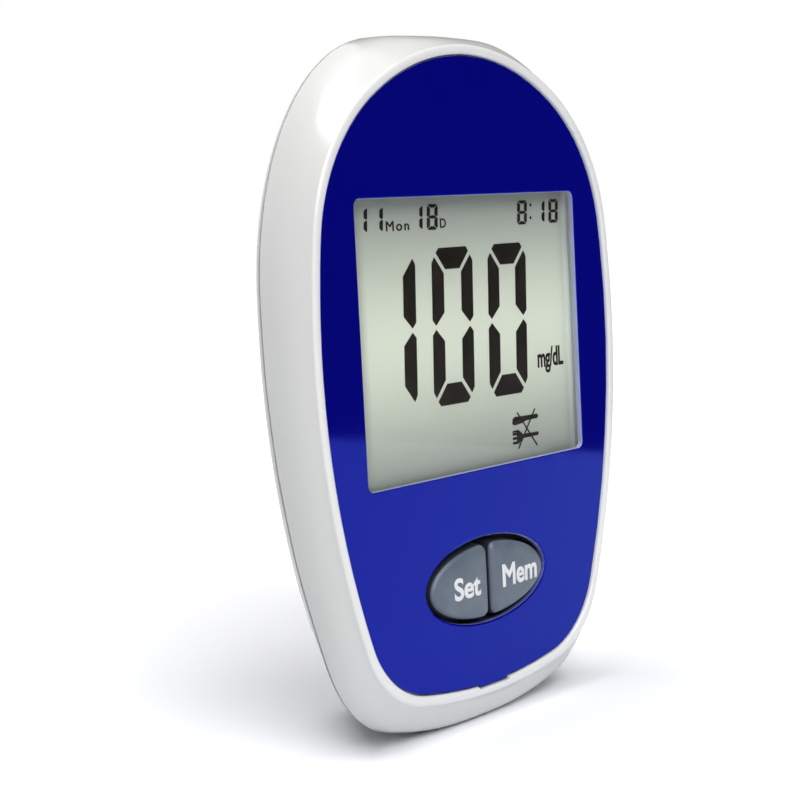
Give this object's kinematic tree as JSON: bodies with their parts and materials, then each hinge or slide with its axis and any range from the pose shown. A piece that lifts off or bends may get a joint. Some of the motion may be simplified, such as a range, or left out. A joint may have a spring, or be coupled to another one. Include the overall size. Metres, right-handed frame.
{
  "type": "blood glucose meter",
  "caption": "Hand-held blood glucose meter: egg-shaped white two-part housing, blue faceplate, display, oval key pair, test strip socket and AAA battery bay with a hinged door.",
  "frame": {"origin": "middle of the overall box on the level face of the lower end, on which the meter stands", "axes": "+Z along the length to the strip socket's end, -Y out of the faceplate, +X to the right seen from the front"},
  "size_m": [0.064, 0.0221, 0.088],
  "materials": {
    "white_housing": "gloss",
    "blue_faceplate": "mirror gloss",
    "clear_pane": "polished",
    "display_grey": "satin",
    "key_grey": "satin",
    "black_plastic": "matte",
    "contact_rubber": "matte",
    "board_green": "satin",
    "nickel": "satin",
    "gold_contact": "polished",
    "screw_steel": "satin",
    "cell_sleeve": "satin"
  },
  "bodies": {
    "meter": {"front_housing": "white_housing", "rear_housing": "white_housing", "faceplate": "blue_faceplate", "display_window": "clear_pane", "lcd_glass": "display_grey", "lcd_holder": "black_plastic", "contact_strip": "contact_rubber", "main_board": "board_green", "controller_chip": "black_plastic", "quartz_crystal": "nickel", "sounder": "black_plastic", "left_switch": "black_plastic", "right_switch": "black_plastic", "strip_socket": "black_plastic", "strip_contact_1": "gold_contact", "strip_contact_2": "gold_contact", "strip_contact_3": "gold_contact", "battery_left": "cell_sleeve", "battery_right": "cell_sleeve", "upper_spring": "nickel", "lower_spring": "nickel", "terminal_left": "nickel", "terminal_right": "nickel", "bridge_plate": "nickel", "housing_screw_1": "screw_steel", "housing_screw_2": "screw_steel", "housing_screw_3": "screw_steel", "housing_screw_4": "screw_steel"},
    "left_key": {"left_key": "key_grey", "left_plunger": "black_plastic"},
    "right_key": {"right_key": "key_grey", "right_plunger": "black_plastic"},
    "battery_door": {"battery_door": "white_housing"}
  },
  "joints": [
    {"name": "left_key_press", "type": "slide", "parent": "meter", "child": "left_key", "axis": [0, 1, 0], "range_m": [0, 0.0006], "stiffness_N_per_m": 800, "springref_m": -0.0004},
    {"name": "right_key_press", "type": "slide", "parent": "meter", "child": "right_key", "axis": [0, 1, 0], "range_m": [0, 0.0006], "stiffness_N_per_m": 800, "springref_m": -0.0004},
    {"name": "battery_door_swing", "type": "hinge", "parent": "meter", "child": "battery_door", "pos_m": [0, 0.01107, 0.0136], "axis": [-1, 0, 0], "range_deg": [0, 80]}
  ]
}
